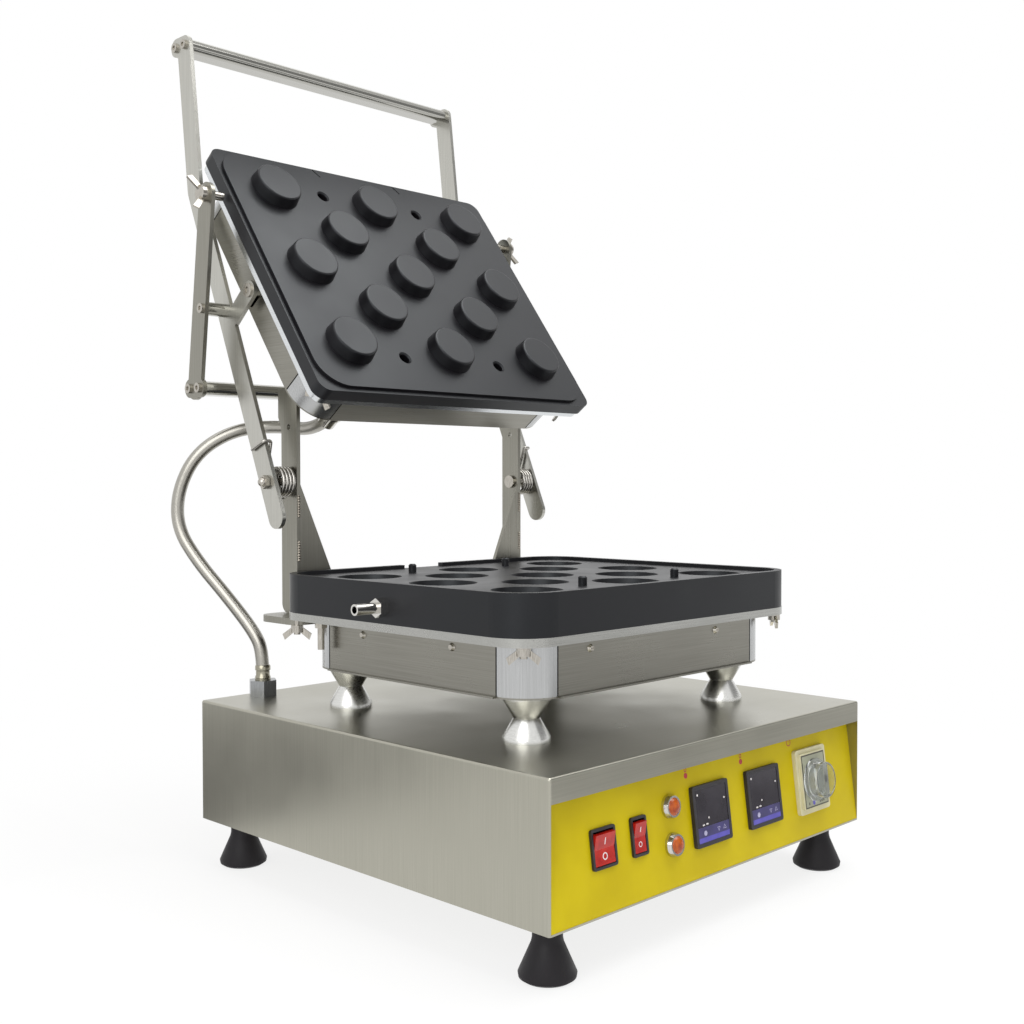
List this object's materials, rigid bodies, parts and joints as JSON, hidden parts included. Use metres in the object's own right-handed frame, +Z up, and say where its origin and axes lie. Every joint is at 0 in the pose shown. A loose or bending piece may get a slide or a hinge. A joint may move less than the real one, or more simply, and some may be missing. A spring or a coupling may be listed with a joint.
{
  "type": "electric tartlet press",
  "caption": "Bench-top electric press whose hinged heated head swings plugs down into cups of a lower mould to bake tart shells, with timer and temperature controls.",
  "frame": {"origin": "on the bench under the middle of the object's box, hose left out", "axes": "+X to the right of the operator who faces the panel, +Y to the back, +Z up"},
  "size_m": [0.4288, 0.5575, 0.7935],
  "materials": {
    "stainless_sheet": "brushed stainless sheet",
    "stainless_bar": "ground stainless flat bar",
    "polished_bar": "polished stainless oval bar",
    "machined_aluminium": "machined aluminium",
    "mould_coat": "cast aluminium with a charcoal non-stick coat",
    "panel_yellow": "printed yellow overlay on sheet",
    "foot_rubber": "moulded black rubber",
    "black_plastic": "fine-grained black plastic",
    "dark_window": "smoked display window",
    "violet_keys": "printed membrane keys",
    "red_rocker": "translucent red plastic",
    "orange_lens": "translucent orange plastic",
    "chromed": "bright nickel and chrome plate",
    "cream_plastic": "moulded cream plastic",
    "clear_plastic": "clear moulded plastic",
    "fastener_steel": "bright plated steel",
    "spring_steel": "drawn spring wire",
    "braid": "stainless wire braid",
    "element_sheath": "heat-tinted element sheath",
    "grey_plastic": "moulded grey plastic"
  },
  "bodies": {
    "machine_base": {"base_housing": "stainless_sheet", "base_floor_plate": "stainless_sheet", "rubber_feet": "foot_rubber", "control_panel": "panel_yellow", "power_switch_frame": "black_plastic", "alarm_switch_frame": "black_plastic", "lamp_bezels": "chromed", "lamp_lenses": "orange_lens", "controller_cases": "black_plastic", "controller_windows": "dark_window", "controller_keys": "violet_keys", "timer_case": "cream_plastic", "timer_dial": "cream_plastic", "terminal_block": "grey_plastic", "heater_relays": "grey_plastic", "timer_buzzer": "black_plastic", "power_inlet_gland": "black_plastic", "standoffs": "machined_aluminium", "lower_heater_cover": "stainless_sheet", "lower_cover_screws": "fastener_steel", "lower_corner_blocks": "machined_aluminium", "lower_heating_element": "element_sheath", "lower_heater_plate": "machined_aluminium", "rear_mount_bar": "stainless_bar", "lower_studs": "fastener_steel", "lower_wing_nuts": "fastener_steel", "earth_stud": "fastener_steel", "lower_mould": "mould_coat", "dowel_pins": "fastener_steel", "mould_side_fitting": "fastener_steel", "left_post": "stainless_bar", "right_post": "stainless_bar", "lever_pivot_pins": "fastener_steel", "torsion_springs": "spring_steel", "conduit_base_nut": "chromed", "conduit_ferrule": "chromed", "conduit_hose_lower": "braid"},
    "lever_frame": {"left_lever": "stainless_bar", "right_lever": "stainless_bar", "grip_bar": "polished_bar", "rear_cross_bar": "polished_bar", "outer_stays": "stainless_bar", "stay_spacers": "polished_bar", "frame_screws": "fastener_steel", "head_pivot_bolts": "fastener_steel", "conduit_hose_upper": "braid"},
    "pivot_shaft": {"head_pivot_shaft": "fastener_steel"},
    "head": {"upper_mould": "mould_coat", "upper_heater_plate": "machined_aluminium", "upper_heater_cover": "stainless_sheet", "upper_cover_screws": "fastener_steel", "upper_corner_blocks": "machined_aluminium", "head_guides": "stainless_bar", "upper_heating_element": "element_sheath", "upper_studs": "fastener_steel", "upper_wing_nuts": "fastener_steel", "conduit_head_gland": "chromed"},
    "power_rocker": {"power_rocker": "red_rocker"},
    "alarm_rocker": {"alarm_rocker": "red_rocker"},
    "timer_knob": {"timer_knob": "clear_plastic"}
  },
  "joints": [
    {"name": "lever_fold", "type": "hinge", "parent": "machine_base", "child": "lever_frame", "pos_m": [0, 0.11882, 0.3549], "axis": [1, 0, 0], "range_deg": [0, 109.13], "stiffness_Nm_per_rad": 3, "deforming": ["torsion_springs", "conduit_hose_lower"]},
    {"name": "head_level", "type": "hinge", "parent": "lever_frame", "child": "pivot_shaft", "pos_m": [0, 0.14626, 0.53262], "axis": [1, 0, 0], "range_deg": [0, 17.23], "deforming": ["conduit_hose_upper"]},
    {"name": "head_seat", "type": "slide", "parent": "pivot_shaft", "child": "head", "axis": [0, -0.8054, 0.5927], "range_m": [0, 0.014]},
    {"name": "power_switch", "type": "hinge", "parent": "machine_base", "child": "power_rocker", "pos_m": [-0.1467, -0.25696, 0.09022], "axis": [-1, 0, 0], "range_deg": [0, 14]},
    {"name": "alarm_switch", "type": "hinge", "parent": "machine_base", "child": "alarm_rocker", "pos_m": [-0.1059, -0.25696, 0.09022], "axis": [-1, 0, 0], "range_deg": [0, 14]},
    {"name": "timer_turn", "type": "hinge", "parent": "machine_base", "child": "timer_knob", "pos_m": [0.1359, -0.2598, 0.0916], "axis": [0, 0.9917, -0.1288], "range_deg": [0, 300]}
  ],
  "couplings": [
    {"joint": "head_level", "follows": "lever_fold", "ratio": 0.15782}
  ]
}
